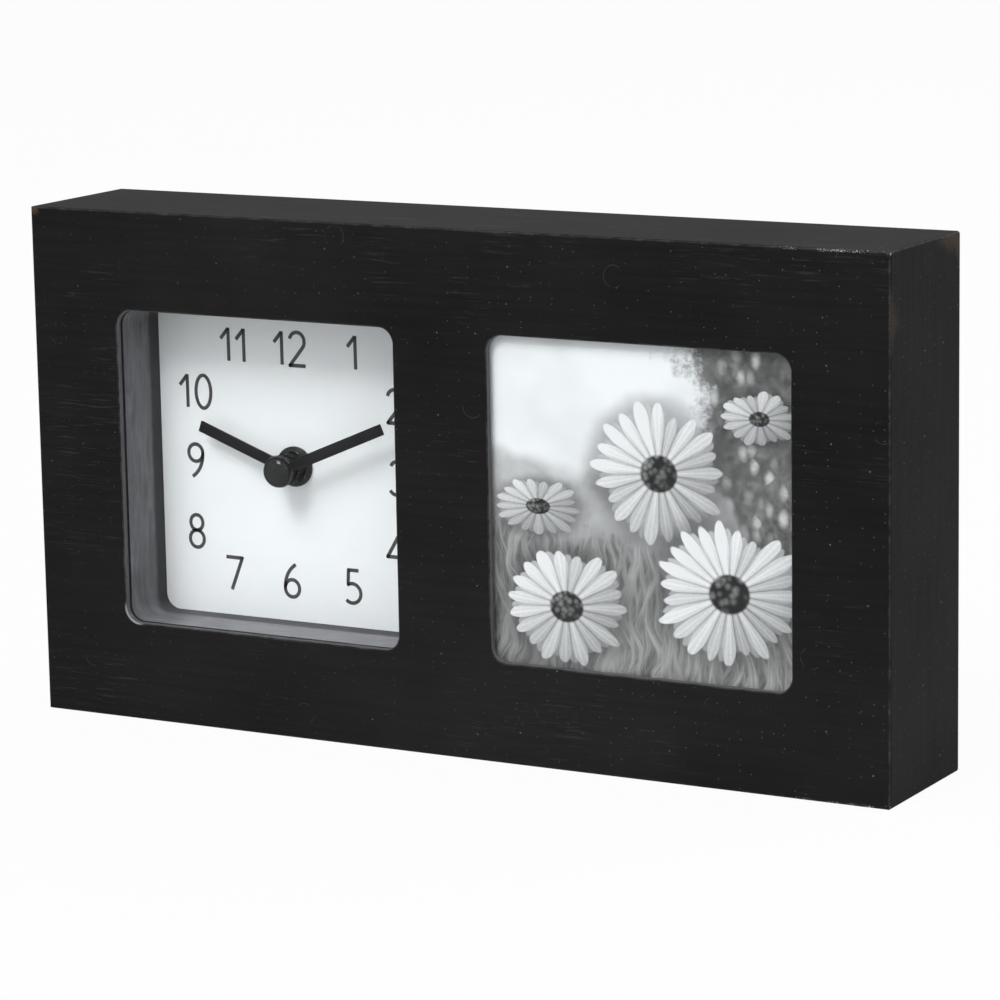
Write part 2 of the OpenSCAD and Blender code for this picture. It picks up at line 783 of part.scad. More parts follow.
module motion_wheel() {
  color("#e8e4da") at_clock() at(motion_pos) difference() {
    union() {
      wheel(level(1), motion_n, hand_m, motion_phase, hub_r, 4);
      gear(level(0), level_step + cut/4, motion_pinion_n, hour_m, pinion_add, motion_pinion_phase);
    }
    rod(level(0) - cut, level_step + gear_t + 2*cut, stud_r + run_gap);
  }
}
module setting_knob() {
  color("#1e1e20") at_clock() at(knob_pos) {
    difference() {
      rod(y_knob, knob_t, knob_d/2);
      for (k = [1 : grips]) at(polar(knob_d/2 + grip_r/2, k*360/grips)) rod(y_knob + grip_in, knob_t, grip_r);
      box([-knob_d/4, y_knob + knob_t - knob_slot_deep, -knob_slot_w/2],
          [knob_d/4, y_knob + knob_t + cut, knob_slot_w/2]);
    }
    rod(level(1) + gear_t - cut/4, y_knob - level(1) - gear_t + cut/2, stem_r);
    gear(level(1), gear_t, knob_n, hand_m, pinion_add, knob_phase);
    rod(y_front_boss - pivot_in + pivot_play, pivot_in + boss_gap, pivot_d/2);
  }
}

// Going train from the centre wheel back to the rotor: each wheel on its leaf pinion and arbor
module centre_wheel() {
  color("#e8e4da") at_clock() difference() {
    union() {
      wheel(level(2), centre_n, centre_m, centre_phase, hub_r, 5);
      rod(level(2), gear_t + run_in, hub_r);
    }
    rod(level(2) - cut, gear_t + 2*cut, arbor_d + run_gap);
  }
}
module train_wheel(y_wheel, n, m, phase, y_leaf, leaf_m, leaf_phase, y_start, y_end) {
  leaf_len = y_wheel > y_leaf ? y_wheel - y_leaf + cut/4 : gear_t;
  wheel(y_wheel, n, m, phase, small_hub_r, 4);
  gear(y_leaf, leaf_len, leaf_n, leaf_m, pinion_add, leaf_phase);
  rod(min(y_wheel, y_leaf) - shoulder, abs(y_wheel - y_leaf) + gear_t + 2*shoulder, arbor_d/2);
  rod(y_start, y_end - y_start, pivot_d/2);
}
module third_wheel() {
  color("#e8e4da") at_clock() at(third_pos)
    train_wheel(level(3), third_n, third_m, third_phase, level(2), centre_m, third_leaf_phase,
                y_front_boss - pivot_in + pivot_play, y_bridge_rear - pivot_play);
}
module seconds_wheel() {
  color("#e8e4da") at_clock() {
    wheel(rear_level(0), seconds_n, seconds_m, seconds_phase, small_hub_r, 4);
    gear(level(3), gear_t, leaf_n, third_m, pinion_add, seconds_leaf_phase);
    rod(level(3) - shoulder, rear_level(0) - level(3) + gear_t + 2*shoulder, arbor_d/2);
    rod(level(1), level(3) - level(1), minute_bore_d/2 - run_gap);
    rod(rear_level(0), y_boss + pivot_in - rear_level(0), pivot_d/2);
  }
}
module step_wheel() {
  color("#e8e4da") at_clock() at(step_pos)
    train_wheel(rear_level(1), step_n, step_m, step_phase, rear_level(0), seconds_m, step_leaf_phase,
                y_bridge + pivot_play, y_boss + pivot_in);
}
module rotor() {
  color("#4a4d52") at_clock() at(rotor_pos) {
    gear(rear_level(1), gear_t, rotor_n, step_m, pinion_add, rotor_phase);
    rod(rear_level(1) - shoulder, level_step, arbor_d/2);
    rod(rear_level(1) + gear_t + 2*shoulder, iron_t + 2*boss_gap, magnet_d/2);
    rod(y_bridge + pivot_play, y_boss + pivot_in - y_bridge - pivot_play, pivot_d/2);
  }
}

// Stator: one soft iron plate with a round hole for the rotor and an arm to each end of the coil
module stator() {
  hole_r = magnet_d/2 + air_gap;
  half_bar = bar_w/2;
  arm_end = coil_dist + core_w/2 + arm_over;
  outer = arm_dist + arm_w/2;
  inner = arm_dist - arm_w/2;
  color("#9a9da2") at_clock() at(rotor_pos) plate(y_stator, iron_t) difference() {
    union() {
      circle(r = hole_r + stator_rim);
      polygon([
        [-half_bar, -outer], [arm_end, -outer], [arm_end, -inner], [half_bar, -inner],
        [half_bar, inner], [arm_end, inner], [arm_end, outer], [-half_bar, outer]
      ]);
    }
    circle(r = hole_r);
    for (side = [-1, 1]) translate([0, side*arm_dist]) circle(r = stator_pin_r + run_gap);
  }
}
module coil_core() {
  half = arm_dist + arm_w/2;
  color("#9a9da2") at_clock()
    box([coil_x - core_w/2, y_core, rotor_pos[1] - half],
        [coil_x + core_w/2, y_stator, rotor_pos[1] + half]);
}
// Bobbin and winding: turned about the coil's upright axis, with the core through the middle
module at_coil() {
  translate([coil_x, y_core + iron_t/2, rotor_pos[1]]) children();
}
bobbin_l = 2*arm_dist - arm_w - 0.6;
flange_t = 0.6;
barrel_r = flange_d/2 - 0.9;
core_gap = 0.05;
module coil_bobbin() {
  color("#e8e4da") at_clock() at_coil() difference() {
    union() {
      cylinder(h = bobbin_l, r = barrel_r, center = true);
      for (side = [-1, 1]) translate([0, 0, side*(bobbin_l - flange_t)/2])
        cylinder(h = flange_t, r = flange_d/2, center = true);
    }
    cube([core_w + 2*core_gap, iron_t + 2*core_gap, bobbin_l + cut], center = true);
  }
}
module coil_winding() {
  len = bobbin_l - 2*flange_t - 2*screw_fit;
  below_flange = 0.15;
  color("#b87333") at_clock() at_coil() difference() {
    cylinder(h = len, r = flange_d/2 - below_flange, center = true);
    cylinder(h = len + cut, r = barrel_r + screw_fit, center = true);
  }
}

// Circuit board with the chip under its drop of resin, and the quartz crystal beside it
module circuit_board() {
  dome_r = (resin_r*resin_r + resin_h*resin_h)/(2*resin_h);
  y = y_circuit;
  color("#2c5a3a") at_clock() difference() {
    union() {
      box([circuit_lo[0], y, circuit_lo[1]], [circuit_hi[0], y + circuit_t, circuit_hi[1]]);
      at(resin_at) intersection() {
        rod(y + circuit_t/2, circuit_t/2 + resin_h, resin_r);
        translate([0, y + circuit_t + resin_h - dome_r, 0]) sphere(r = dome_r);
      }
    }
    for (p = circuit_posts) at(p) rod(y - cut, circuit_t + 2*cut, stator_pin_r + run_gap);
  }
}
module quartz_crystal() {
  y = y_circuit + circuit_t + crystal_r + contact_seat;
  color("#c9ccd0") at_clock() translate([circuit_lo[0] + crystal_in, y, circuit_hi[1] - crystal_in])
    rotate([0, 90, 0]) cylinder(h = crystal_l, r = crystal_r);
}

// Contacts: bent strips at the two ends of the bay, with tails through the divider to the board
module positive_contact() {
  foot = [circuit_hi[0] - foot_in - foot_w, circuit_hi[0] - foot_in];
  y_tail = y_strip + strip_h;
  y_foot = y_circuit + circuit_t;
  wall = inner_half - contact_t;
  z_tail = chamber_bottom + contact_t;
  color("#c9ccd0") at_clock() {
    box([wall, y_floor + leaf_low, cell_z - leaf_half], [inner_half, y_tail, cell_z + leaf_half]);
    box([wall, y_strip, cell_z + leaf_half - cut], [inner_half, y_tail, z_tail]);
    box([foot[0], y_strip, chamber_bottom], [inner_half, y_tail, z_tail]);
    box([foot[0], y_foot, chamber_bottom], [foot[1], y_tail, z_tail]);
    box([foot[0], y_foot, chamber_bottom], [foot[1], y_foot + contact_t, circuit_lo[1] + foot_reach]);
  }
}
module negative_contact() {
  y_tail = y_strip + strip_h;
  y_foot = y_circuit + circuit_t;
  apex = cell_end - cell_l - cell_play;
  wall = -inner_half;
  inner = wall + contact_t;
  nose = 4*leaf_bend;
  back = nose - leaf_bend;
  foot = [circuit_lo[1] + foot_reach - leaf_bend, circuit_lo[1] + foot_reach - leaf_bend + foot_w];
  color("#c9ccd0") at_clock() {
    plate(y_floor + leaf_low, y_tail - y_floor - leaf_low) polygon([
      [wall, cell_z - leaf_half], [apex - leaf_bend, cell_z - nose], [apex, cell_z],
      [apex - leaf_bend, cell_z + nose], [inner, cell_z + leaf_half], [inner, cell_z + leaf_half + cut],
      [wall, cell_z + leaf_half + cut], [wall, cell_z + leaf_half - contact_t],
      [apex - leaf_bend - contact_t, cell_z + back], [apex - contact_t, cell_z],
      [apex - leaf_bend - contact_t, cell_z - back]
    ]);
    box([wall, y_strip, cell_z + leaf_half], [inner, y_tail, foot[1]]);
    box([wall, y_foot, foot[0]], [inner, y_tail, foot[1]]);
    box([wall, y_foot, foot[0]], [circuit_lo[0] + foot_w, y_foot + contact_t, foot[1]]);
  }
}

// One AA cell, lying across the bay with its nub to the right
module battery() {
  r = cell_d/2;
  body_l = cell_l - nub_l;
  ease = 0.5;
  color("#b8893a") at_clock() translate([cell_end - cell_l, y_floor + r, cell_z]) rotate([0, 90, 0])
    rotate_extrude() polygon([
      [0, 0], [r - ease, 0], [r, ease], [r, body_l - ease], [r - ease, body_l],
      [nub_d/2, body_l], [nub_d/2, cell_l - ease], [nub_d/2 - ease, cell_l], [0, cell_l]
    ]);
}

front_board();
top_rail();
bottom_rail();
left_rail();
right_rail();
clock_glass();
clock_surround();
dial();
dial_board();
dial_board_screws();
photo_glass();
photo_print();
photo_spacer();
photo_back();
turn_button_top();
turn_button_bottom();
turn_button_left();
turn_button_right();
button_screws();
rubber_washer();
hub_nut();
hour_hand();
minute_hand();
hand_cap();
movement_case();
movement_cover();
gear_bridge();
hour_wheel();
minute_arbor();
motion_wheel();
setting_knob();
centre_wheel();
third_wheel();
seconds_wheel();
step_wheel();
rotor();
stator();
coil_core();
coil_bobbin();
coil_winding();
circuit_board();
quartz_crystal();
positive_contact();
negative_contact();
battery();
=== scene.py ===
"""Photo frame clock: the finishes of its parts, its printed dial, hub and hands, and a plain studio."""
import bmesh
import bpy
import numpy as np
from mathutils import Matrix, Vector


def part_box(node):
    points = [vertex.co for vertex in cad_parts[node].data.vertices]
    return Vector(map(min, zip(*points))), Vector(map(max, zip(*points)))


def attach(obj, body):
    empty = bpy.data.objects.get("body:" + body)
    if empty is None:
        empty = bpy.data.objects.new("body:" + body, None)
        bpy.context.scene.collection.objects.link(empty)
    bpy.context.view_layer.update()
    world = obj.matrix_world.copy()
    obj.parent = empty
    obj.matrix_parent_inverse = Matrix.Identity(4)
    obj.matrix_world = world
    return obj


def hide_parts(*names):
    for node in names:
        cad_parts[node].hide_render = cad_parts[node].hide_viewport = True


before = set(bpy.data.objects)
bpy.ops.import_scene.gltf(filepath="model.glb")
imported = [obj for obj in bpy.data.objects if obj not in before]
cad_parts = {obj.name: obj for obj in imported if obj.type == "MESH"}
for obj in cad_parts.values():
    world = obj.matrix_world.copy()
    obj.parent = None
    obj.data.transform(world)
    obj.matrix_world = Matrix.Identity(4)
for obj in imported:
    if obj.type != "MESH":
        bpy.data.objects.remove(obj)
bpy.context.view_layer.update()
MM = 0.001


# View
# The block is seen from its right and a little above, through a long lens that is rolled one
# degree. The target is a point of the front face.
azimuth, elevation, roll = np.radians([29.28, 10.92, -1.01])
target = Vector((0.0142, -0.0175, 0.0571))
distance = 0.886
back = Vector((np.sin(azimuth)*np.cos(elevation), -np.cos(azimuth)*np.cos(elevation), np.sin(elevation)))
right = Vector((np.cos(azimuth), np.sin(azimuth), 0))
up = back.cross(right)
right, up = (np.cos(roll)*right + np.sin(roll)*up, np.cos(roll)*up - np.sin(roll)*right)
lens = bpy.data.cameras.new("camera")
lens.sensor_width, lens.lens = 36, 151.8
lens.clip_start, lens.clip_end = 0.05, 20
camera = bpy.data.objects.new("camera", lens)
turn = Matrix((right, up, back)).transposed().to_4x4()
camera.matrix_world = Matrix.Translation(target + distance*back) @ turn
bpy.context.collection.objects.link(camera)
scene = bpy.context.scene
scene.camera = camera
scene.view_settings.view_transform = "Standard"


# Studio
# A large soft lamp high in front, weaker ones on the right and behind, and a small one that makes
# glints, in a white room. The floor is white paper: the camera sees it bright, under the shadow.
class Wire:
    """A socket of a node tree. Arithmetic on wires adds Math nodes, and node() adds any other."""

    def __init__(self, tree, socket=None):
        self.tree, self.socket = tree, socket

    def node(self, kind, settings=None, inputs=None, out=0):
        """Adds a node, sets its settings and then its sockets, to values or links; returns one output."""
        made = self.tree.nodes.new(kind)
        for name, value in (settings or {}).items():
            setattr(made, name, value)
        for name, value in (inputs or {}).items():
            if isinstance(value, Wire):
                self.tree.links.new(value.socket, made.inputs[name])
            else:
                made.inputs[name].default_value = value
        return Wire(self.tree, made.outputs[out] if len(made.outputs) else None)

    def math(self, operation, *terms):
        """The Math node of an operation on the terms, or on this wire where none are given."""
        return self.node("ShaderNodeMath", {"operation": operation}, dict(enumerate(terms or (self,))))

    def __add__(self, other):
        return self.math("ADD", self, other)

    __radd__ = __add__

    def __sub__(self, other):
        return self.math("SUBTRACT", self, other)

    def __rsub__(self, other):
        return self.math("SUBTRACT", other, self)

    def __mul__(self, other):
        return self.math("MULTIPLY", self, other)

    __rmul__ = __mul__

    def __truediv__(self, other):
        return self.math("DIVIDE", self, other)

    def __abs__(self):
        return self.math("ABSOLUTE", self)

    def low(self, other):
        return self.math("MINIMUM", self, other)

    def high(self, other):
        return self.math("MAXIMUM", self, other)

    def step(self, start, end):
        """0 below start and 1 above end, smooth between; 1 to 0 where end is below start."""
        return self.node("ShaderNodeMapRange", {"interpolation_type": "SMOOTHSTEP"},
                         {"Value": self, "From Min": start, "From Max": end})

    def mix(self, first, second):
        """The colour first where this wire is 0 and second where it is 1."""
        return self.node("ShaderNodeMix", {"data_type": "RGBA"}, {0: self, 6: first, 7: second}, out=2)

    def grey(self, tint=(1, 1, 1)):
        """A colour of this wire's brightness."""
        return self.node("ShaderNodeCombineColor", {}, dict(enumerate(self*t for t in tint)))

    def vector(self, operation, *others):
        """The Vector Math node of an operation on this wire and the others."""
        return self.node("ShaderNodeVectorMath", {"operation": operation}, dict(enumerate((self, *others))))

    def stretched(self, scale):
        return self.vector("MULTIPLY", scale)

    def noise(self, scale=1.0, detail=2.0, roughness=0.5):
        """Smooth noise from 0 to 1 over this wire's vector."""
        return self.node("ShaderNodeTexNoise", {}, {"Vector": self, "Scale": scale, "Detail": detail,
                                                    "Roughness": roughness})

    def cells(self, scale=1.0, space="3D"):
        """Distance to the nearest of scattered points, and the colour that each point carries."""
        return tuple(self.node("ShaderNodeTexVoronoi", {"voronoi_dimensions": space},
                               {"Vector": self, "Scale": scale}, out=i) for i in range(2))

    def bump(self, distance, strength=1.0):
        return self.node("ShaderNodeBump", {}, {"Height": self, "Distance": distance, "Strength": strength})


def new_tree(name):
    """A material with an empty node tree, and a wire in it to start from."""
    made = bpy.data.materials.new(name)
    made.use_nodes = True
    made.node_tree.nodes.clear()
    return made, Wire(made.node_tree)


def surface(wire, shader, of="Material"):
    """Makes a shader the surface of its material or world."""
    wire.node("ShaderNodeOutput" + of, {}, {"Surface": shader})


def seen(wire, in_gloss=0.4):
    """1 on rays from the camera and through the panes, and in_gloss on those that gloss and metal
    send back, so that they show the room more faintly."""
    rays = [wire.node("ShaderNodeLightPath", out=name)
            for name in ("Is Camera Ray", "Is Transmission Ray", "Is Glossy Ray")]
    return rays[0].high(rays[1]).high(rays[2]*in_gloss)


world = bpy.data.worlds.new("room")
scene.world = world
world.use_nodes = True
world.node_tree.nodes.clear()
start = Wire(world.node_tree)
room_fill, room_seen = 0.42, 1.0
shader = start.node("ShaderNodeBackground", {}, {
    "Color": (1, 1, 1, 1), "Strength": seen(start)*(room_seen - room_fill) + room_fill})
surface(start, shader, "World")
block_middle = Vector((0, 0, 0.06))


def lamp(name, place, size, power):
    """A square lamp at place, in metres, that looks at the middle of the block."""
    light = bpy.data.lights.new(name, "AREA")
    light.size, light.energy = size, power
    made = bpy.data.objects.new(name, light)
    turn = (Vector(place) - block_middle).to_track_quat("Z", "Y").to_matrix().to_4x4()
    made.matrix_world = Matrix.Translation(place) @ turn
    bpy.context.collection.objects.link(made)


lamp("key_lamp", (-0.2, -1.2, 1.45), 0.8, 13.8)
lamp("side_lamp", (1.3, -0.9, 0.7), 0.7, 2.8)
lamp("small_lamp", (-0.05, -1.25, 1.2), 0.22, 1.2)
lamp("back_lamp", (0.9, 1.3, 1.1), 0.8, 9)


def grid_faces(rows, columns, closed=False):
    """Quads of a grid of points numbered row by row; closed joins the last column to the first."""
    across = np.arange(columns if closed else columns - 1)
    a = (np.arange(rows - 1)[:, None]*columns + across).ravel()
    b = (np.arange(rows - 1)[:, None]*columns + (across + 1) % columns).ravel()
    return np.stack([a, b, b + columns, a + columns], 1)


def mesh_piece(name, points, faces, look, smooth=True):
    """A mesh object at the origin from arrays of points in metres and of faces, with one material."""
    mesh = bpy.data.meshes.new(name)
    mesh.from_pydata(np.asarray(points).tolist(), [], [list(f) for f in faces])
    shell = bmesh.new()
    shell.from_mesh(mesh)
    bmesh.ops.remove_doubles(shell, verts=shell.verts, dist=1e-6)
    bmesh.ops.recalc_face_normals(shell, faces=shell.faces)
    shell.to_mesh(mesh)
    shell.free()
    if smooth:
        mesh.shade_smooth()
    mesh.materials.append(look)
    made = bpy.data.objects.new(name, mesh)
    bpy.context.collection.objects.link(made)
    return made


paper, start = new_tree("floor_paper")
diffuse = start.node("ShaderNodeBsdfDiffuse", {}, {"Color": (0.87, 0.87, 0.87, 1)})
glow = start.node("ShaderNodeEmission", {}, {"Color": (1, 1, 1, 1), "Strength": 1.0})
glow_share, floor_half = 0.95, 6.0
surface(start, start.node("ShaderNodeMixShader", {}, {0: seen(start)*glow_share, 1: diffuse, 2: glow}))
corners = [(-floor_half, -floor_half, 0), (floor_half, -floor_half, 0),
           (floor_half, floor_half, 0), (-floor_half, floor_half, 0)]
floor = mesh_piece("floor", corners, [(0, 1, 2, 3)], paper)


# Block: front board and rails
# A board with two windows and four rails behind it, of fibreboard, glued flush and brushed satin
# black. Handling has rubbed its edges and bared brown board at corners, and dust lies on its faces.
half_width, half_depth, height = 103.5, 17.5, 114.0
rail_width, board_back = 9.0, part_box("top_rail")[0][1]*1000
window_middle, window_level, window_half, window_round = 46.5, 57.0, 35.0, 3.5
lip_depth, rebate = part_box("clock_glass")[0][1]*1000 + half_depth, 4.0


def dress(names, look):
    """Gives parts that came with the frame one material."""
    for name in names:
        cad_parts[name].material_slots[0].material = look


def place(start):
    """The place on the object, as a vector and as its X, Y and Z, in millimetres."""
    spot = start.node("ShaderNodeTexCoord", out="Object").stretched((1000, 1000, 1000))
    return (spot, *(start.node("ShaderNodeSeparateXYZ", {}, {0: spot}, out=i) for i in range(3)))


def principled(start, **sockets):
    """The main shader; a socket is named by its words joined with underscores."""
    named = {name.replace("_", " "): value for name, value in sockets.items()}
    return start.node("ShaderNodeBsdfPrincipled", {}, named)


def to_window(x, z):
    """Distance outside a window's rounded outline, below 0 inside it, for the window on either side:
    the length of what lies past the corner's centre in X and Z, less the corner's radius."""
    past_x = abs(abs(x) - window_middle) - (window_half - window_round)
    past_z = abs(z - window_level) - (window_half - window_round)
    corner = (past_x.high(0)*past_x.high(0) + past_z.high(0)*past_z.high(0)).math("SQRT")
    return corner + past_x.high(past_z).low(0) - window_round


black_paint, start = new_tree("satin_black")
spot, x, y, z = place(start)
normal = start.node("ShaderNodeNewGeometry", out="Normal").vector("ABSOLUTE")
faces_side, faces_top = (start.node("ShaderNodeSeparateXYZ", {}, {0: normal}, out=i).step(0.6, 0.8)
                         for i in ("X", "Z"))
flat = start.node("ShaderNodeCombineXYZ", {}, {0: x + (y - x)*faces_side, 1: z + (y - z)*faces_top})
to_side = half_width - abs(x)
to_end = (height - z).low(z)
to_face = half_depth - abs(y)
to_edge = to_side.low(to_end).high(to_side.high(to_end).low(to_face))
to_corner = to_side.high(to_end).high(to_face)
clouds = spot.noise(0.03, 3)
rub = spot.noise(0.3, 4, 0.65)
grain = spot.noise(4, 3, 0.7)
strokes = (spot.stretched((0.03, 0.9, 0.9)).noise(1, 4, 0.65)*(1 - faces_side)
           + spot.stretched((0.9, 0.9, 0.04)).noise(1, 4, 0.65)*faces_side)
# A painted sheen makes the paint a little lighter round the low middle of the block.
painted_low_sheen = (x*x*0.3 + (z - 15)*(z - 15)).math("SQRT").step(70, 5)
coarse = (strokes*1.2 + grain*0.8 - 1.08)*faces_side*0.014
paint = strokes*0.009 + clouds*0.014 + grain*0.004 + painted_low_sheen*0.006 + coarse - 0.0007
paint = paint.high(0.001).grey((1, 0.99, 1.04))
scratch = (spot.stretched((0.11, 0.5, 2.4)).noise(1, 3, 0.6).step(0.56, 0.68)*(1 - faces_side)
           + spot.stretched((0.5, 0.4, 1.1)).noise(1, 3, 0.6).step(0.6, 0.72)*faces_side*0.6)
scratch = scratch*spot.noise(0.05, 3, 0.6).step(0.48, 0.66)*grain.step(0.3, 0.6)
paint = (scratch*0.6).mix(paint, (0.055, 0.055, 0.056, 1))


# Dust is sparse round specks with finer ones between them, and a few hairs.
def dust(scale, radius, share):
    """Round specks about one cell of the pattern apart, each with its own brightness."""
    gap, colour = flat.cells(scale, "2D")
    chance = start.node("ShaderNodeSeparateColor", {}, {0: colour})
    return gap.step(radius*scale*1.25, radius*scale*0.7)*chance.step(1 - share, 1.1)


specks = dust(0.11, 0.16, 0.55).high(dust(0.4, 0.12, 0.45)*0.6)*(x.step(-70, 80)*0.5 + 0.4)
paint = specks.mix(paint, (0.24, 0.24, 0.235, 1))
bend, colour = flat.vector("ADD", (13, 13, 13)).cells(0.026, "2D")
hair_chance = start.node("ShaderNodeSeparateColor", {}, {0: colour})
hairs = abs(bend - 0.06).step(0.0036, 0.0018)*rub.step(0.5, 0.55)*hair_chance.step(0.35, 0.4)
paint = (hairs*0.35).mix(paint, (0.07, 0.07, 0.07, 1))

# Wear thins the paint along the edges, chips it at the right end and rubs each window's rim bright.
thin = (to_edge + rub*0.9).step(0.95, 0.45)*grain.step(0.3, 0.55)
paint = (thin*0.75).mix(paint, (0.085, 0.085, 0.09, 1))
chips = to_edge.step(0.7, 0.45)*to_face.step(1, 0.6)*grain.step(0.56, 0.6)*rub.step(0.48, 0.53)
paint = (chips*x.step(74, 92)*to_end.step(1, 0.6)).mix(paint, (0.8, 0.8, 0.78, 1))
window_rim = to_window(x, z).step(0.55, 0.25)*to_face.step(0.5, 0.25)
# A painted glint brightens the clock window's rim at its lower left corner.
past_left, past_low = x + window_middle + window_half, z - window_level + window_half
painted_corner_glint = (past_left*past_left + past_low*past_low).step(22, 4)
paint = (window_rim*rub.step(0.35, 0.7)*0.4).mix(paint, (0.14, 0.14, 0.145, 1))
paint = (window_rim*painted_corner_glint).mix(paint, (0.4, 0.4, 0.41, 1))

# Each window's lip has the recess's thin grey paint. The rebate behind it gets the same grey as
# painted light, which lifts the shade in the slot there.
on_lip = to_window(x, z).step(0.25, 0.08)*to_face.step(0.1, 0.4)
rebate_painted_light = (to_window(x, z).step(rebate + 0.3, rebate + 0.1)
             * to_face.step(lip_depth - 0.15, lip_depth - 0.05)*y.step(-9, -10))
paint = on_lip.high(rebate_painted_light).mix(paint, (rub*0.07 + grain*0.04 + 0.08).grey((1, 1, 1.05)))

# Brown board shows at the worst corners and in patches on the right side.
bared = (to_corner + rub*8 + clouds*7).step(8.6, 7.2)*to_edge.step(2.6, 0.3)*grain.step(0.3, 0.6)
rear_corner = ((half_depth - y)*0.45 + (height - z)*1.1 + rub*8).step(11.5, 7)
front_patch = ((half_depth + y)*0.9 + abs(height - 14 - z)*0.55 + rub*8).step(9.5, 5.5)*0.6
fibre = (spot.noise(3, 4, 0.7)*0.13 + 0.03).grey((1, 0.74, 0.5))
side_wear = rear_corner.high(front_patch)*faces_side*x.step(0, 1)*grain.step(0.36, 0.6)*0.85
paint = bared.high(side_wear).mix(paint, fibre)

# The rails are raw board inside, with a haze of paint that blew in from the back.
inside = (to_side.low(to_end).step(rail_width - 0.1, rail_width - 0.02)
          * y.step(board_back - 0.2, board_back - 0.05))
raw = (spot.noise(2.2, 5, 0.75)*0.09 + clouds*0.03 + 0.05).grey((1, 0.6, 0.37))
spray = (spot.noise(0.9, 4, 0.8)*9 + y).step(16, 21)
paint = inside.mix(paint, (spray*0.92).mix(raw, (0.012, 0.012, 0.013, 1)))
surface(start, principled(
    start, Base_Color=paint, Roughness=strokes*0.16 + inside*0.3 + 0.46, Specular_IOR_Level=0.04,
    Normal=(strokes*0.5 + grain*0.25).bump(0.00004, 0.5)))
dress(["front_board", "top_rail", "bottom_rail", "left_rail", "right_rail"], black_paint)


# Panes
# Two clear flat panes, one behind each window's lip. On the clock's pane the margin behind the lip
# glows faintly grey, painted light that lifts the dark slot there. Shadow rays pass straight through the
# clear part.
clear_pane, start = new_tree("clear_sheet")
glass = principled(start, Base_Color=(0.97, 0.985, 0.985, 1), Roughness=0.0, IOR=1.12,
                   Transmission_Weight=1.0, Specular_IOR_Level=0.05)
shadow = start.node("ShaderNodeLightPath", out="Is Shadow Ray")
sheet_look = start.node("ShaderNodeMixShader", {}, {
    0: shadow, 1: glass, 2: start.node("ShaderNodeBsdfTransparent")})
spot, x, y, z = place(start)
# The margin's faint grey glow is painted light.
painted_glow_grey = (spot.noise(0.5, 4)*0.07 + 0.035).grey((1, 1, 1.05))
painted_glow_margin = principled(start, Base_Color=(0, 0, 0, 1), Specular_IOR_Level=0.0,
                    Emission_Color=painted_glow_grey, Emission_Strength=1.0)
surface(start, start.node("ShaderNodeMixShader", {}, {
    0: to_window(x, z).step(-0.03, 0.03)*x.step(0, -1), 1: sheet_look, 2: painted_glow_margin}))
dress(["clock_glass", "photo_glass"], clear_pane)


# Surround of the clock
# A frame of fibreboard that makes the walls of the recess between the pane and the dial. It is
# brushed with thin grey paint round its inside, with painted shade where it meets the dial and painted
# light on its top and bottom walls towards the front.
surround_paint, start = new_tree("thin_grey_paint")
spot, x, y, z = place(start)
recess_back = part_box("dial")[0][1]*1000
dark_depth, floor_dark_depth = 3.6, 4.3
streaks = spot.stretched((0.14, 1.1, 0.14)).noise(1, 5, 0.65)
mottle = spot.noise(0.5, 5, 0.7)
blot = spot.noise(0.14, 3)
wash = (streaks.step(0.25, 0.8)*0.075 + mottle*0.09 + blot*0.075).grey((1, 0.99, 1.06))
dust_gap = spot.cells(0.55)[0]
wash = (dust_gap.step(0.14, 0.06)*mottle.step(0.45, 0.6)*0.6).mix(wash, (0.4, 0.4, 0.4, 1))
on_wall = (abs(x + window_middle) - (window_half - 0.6)).step(-0.4, 0.4)
behind = recess_back - y + mottle*1.3
# Painted shade darkens every wall in a band next to the dial.
band = (behind.step(floor_dark_depth + 1.5, floor_dark_depth + 0.3)*(1 - on_wall)*0.8
        + behind.step(dark_depth + 1.7, dark_depth + 0.2)*on_wall)
# Painted light brightens the top and bottom walls of the recess towards the front.
painted_light_floor = (1 - on_wall)*behind.step(3, 7)*(x + window_middle + window_half).step(3, 17)*0.28
wash = painted_light_floor.mix(wash, (mottle*0.3 + streaks*0.25 + 0.08).grey((1, 1, 1.05)))
wash = band.mix(wash, (0.02, 0.02, 0.024, 1))
surface(start, principled(start, Base_Color=wash, Roughness=mottle*0.2 + 0.45, Specular_IOR_Level=0.3,
                          Normal=(streaks + mottle*0.5).bump(0.00008, 0.5)))
dress(["clock_surround"], surround_paint)


# Dial
# A smooth white card behind the recess, printed with twelve plain upright numbers in thin dark
# strokes, rounded only where two strokes meet. The print is a film of ink on the card's face.
dial_card, start = new_tree("dial_card")
spot = place(start)[0]
fibres = spot.noise(5, 4, 0.7)
surface(start, principled(
    start, Base_Color=(fibres*0.02 + spot.noise(0.06, 2)*0.03 + 0.72).grey((0.975, 0.995, 1.015)),
    Roughness=0.55 + fibres*0.1, Specular_IOR_Level=0.3, Normal=fibres.bump(0.00001, 0.4)))
dress(["dial"], dial_card)

dial_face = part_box("dial")[0][1]
axis_x, axis_z = -0.0465, 0.057
stroke_width, ink_thickness = 0.84, 0.03
number_shift = (-0.6, -0.2)


def arc(middle, radii, first, last, count=24):
    """Points of an ellipse's arc: middle plus each radius times the cosine or sine of the angle."""
    angle = np.radians(np.linspace(first, last, count))
    return np.stack([middle[0] + radii[0]*np.cos(angle), middle[1] + radii[1]*np.sin(angle)], 1)


def along(path, count):
    """The path at even steps of its own length, found on the running sum of its segments."""
    path = np.asarray(path, float)
    run = np.concatenate([[0], np.cumsum(np.linalg.norm(np.diff(path, axis=0), axis=1))])
    at = np.linspace(0, run[-1], count)
    return np.stack([np.interp(at, run, path[:, i]) for i in range(path.shape[1])], 1), at


